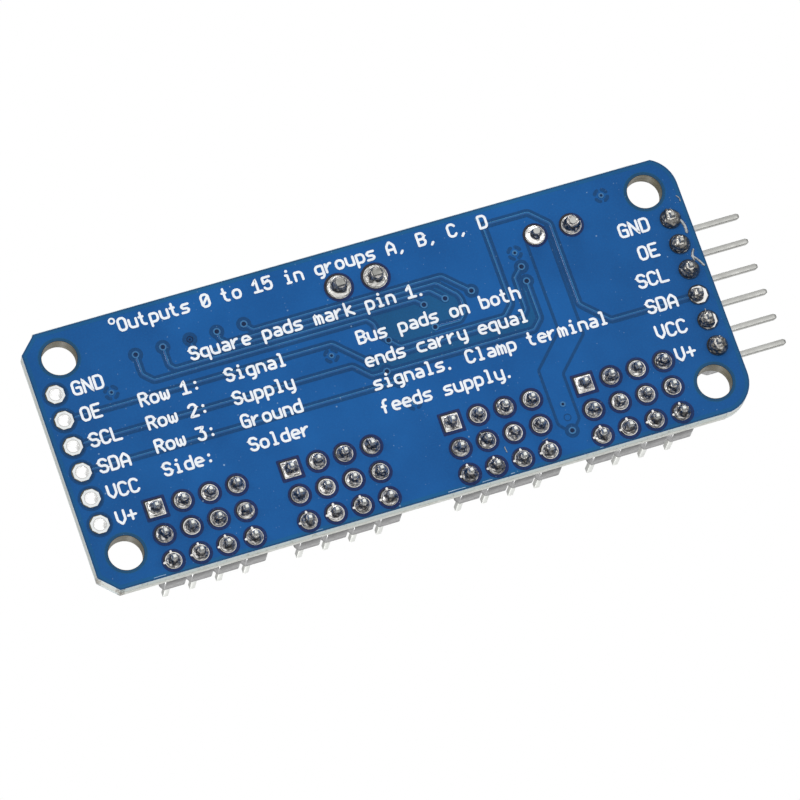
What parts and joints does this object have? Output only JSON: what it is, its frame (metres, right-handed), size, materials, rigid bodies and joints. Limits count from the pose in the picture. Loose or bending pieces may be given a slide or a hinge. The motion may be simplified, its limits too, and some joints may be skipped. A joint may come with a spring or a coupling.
{
  "type": "servo driver board",
  "caption": "Long blue circuit board that drives hobby servos, with rows of output pins along one edge, a bent-pin bus header, a screw terminal and a smoothing capacitor.",
  "frame": {"origin": "centre of the four mounting holes, on the underside (solder side) of the board", "axes": "+Z out of the component side, +X along the board away from the bus header, +Y towards the screw terminal"},
  "size_m": [0.0679, 0.0253, 0.0149],
  "materials": {
    "laminate": "satin solder mask over glass laminate",
    "pad_plating": "hot-air levelled tin",
    "black_moulding": "moulded, satin",
    "red_moulding": "moulded, satin",
    "yellow_moulding": "moulded, satin",
    "terminal_moulding": "moulded, satin",
    "pin_plating": "bright tin plate",
    "contact_tin": "tin plate",
    "solder": "bright solder",
    "screw_steel": "zinc plate",
    "cage_nickel": "nickel plate",
    "can_aluminium": "drawn, satin",
    "capacitor_sleeve": "shrunk film",
    "seal_rubber": "matt",
    "foil_winding": "rolled foil and paper",
    "package_epoxy": "moulded epoxy, matt",
    "resistor_glaze": "black glaze",
    "tan_ceramic": "fired ceramic",
    "plated_end": "tin plate",
    "light_base": "moulded",
    "light_lens": "clear resin"
  },
  "bodies": {
    "board": {"breakout_pad_barrels": "pad_plating", "bus_header_pins": "pin_plating", "bus_header_solder": "solder", "bus_header_strip": "black_moulding", "capacitor_can": "can_aluminium", "capacitor_leads": "contact_tin", "capacitor_seal": "seal_rubber", "capacitor_sleeve": "capacitor_sleeve", "capacitor_solder": "solder", "capacitor_winding": "foil_winding", "ceramic_capacitors": "tan_ceramic", "ceramic_capacitors_ends": "plated_end", "chip_resistors": "resistor_glaze", "chip_resistors_ends": "plated_end", "circuit_board": "laminate", "driver_chip": "package_epoxy", "driver_chip_leads": "contact_tin", "ground_strip_a": "black_moulding", "ground_strip_b": "black_moulding", "ground_strip_c": "black_moulding", "ground_strip_d": "black_moulding", "output_resistor_array_ends": "plated_end", "output_resistor_arrays": "resistor_glaze", "polarity_transistor": "package_epoxy", "polarity_transistor_leads": "contact_tin", "power_light_base": "light_base", "power_light_ends": "plated_end", "power_light_lens": "light_lens", "power_strip_a": "red_moulding", "power_strip_b": "red_moulding", "power_strip_c": "red_moulding", "power_strip_d": "red_moulding", "servo_pins_a": "pin_plating", "servo_pins_b": "pin_plating", "servo_pins_c": "pin_plating", "servo_pins_d": "pin_plating", "servo_solder_a": "solder", "servo_solder_b": "solder", "servo_solder_c": "solder", "servo_solder_d": "solder", "signal_strip_a": "yellow_moulding", "signal_strip_b": "yellow_moulding", "signal_strip_c": "yellow_moulding", "signal_strip_d": "yellow_moulding", "terminal_contacts": "contact_tin", "terminal_housing": "terminal_moulding", "terminal_solder": "solder"},
    "screw_positive": {"clamp_screw_positive": "screw_steel"},
    "cage_positive": {"clamp_cage_positive": "cage_nickel"},
    "screw_negative": {"clamp_screw_negative": "screw_steel"},
    "cage_negative": {"clamp_cage_negative": "cage_nickel"}
  },
  "joints": [
    {"name": "screw_positive_turn", "type": "hinge", "parent": "board", "child": "screw_positive", "pos_m": [-0.00175, 0.00875, 0.0092], "axis": [0, 0, -1], "range_deg": [0, 1800]},
    {"name": "cage_positive_rise", "type": "slide", "parent": "board", "child": "cage_positive", "axis": [0, 0, 1], "range_m": [0, 0.002]},
    {"name": "screw_negative_turn", "type": "hinge", "parent": "board", "child": "screw_negative", "pos_m": [0.00175, 0.00875, 0.0092], "axis": [0, 0, -1], "range_deg": [0, 1800]},
    {"name": "cage_negative_rise", "type": "slide", "parent": "board", "child": "cage_negative", "axis": [0, 0, 1], "range_m": [0, 0.002]}
  ],
  "couplings": [
    {"joint": "screw_positive_turn", "follows": "cage_positive_rise", "rad_per_m": 15708},
    {"joint": "screw_negative_turn", "follows": "cage_negative_rise", "rad_per_m": 15708}
  ]
}
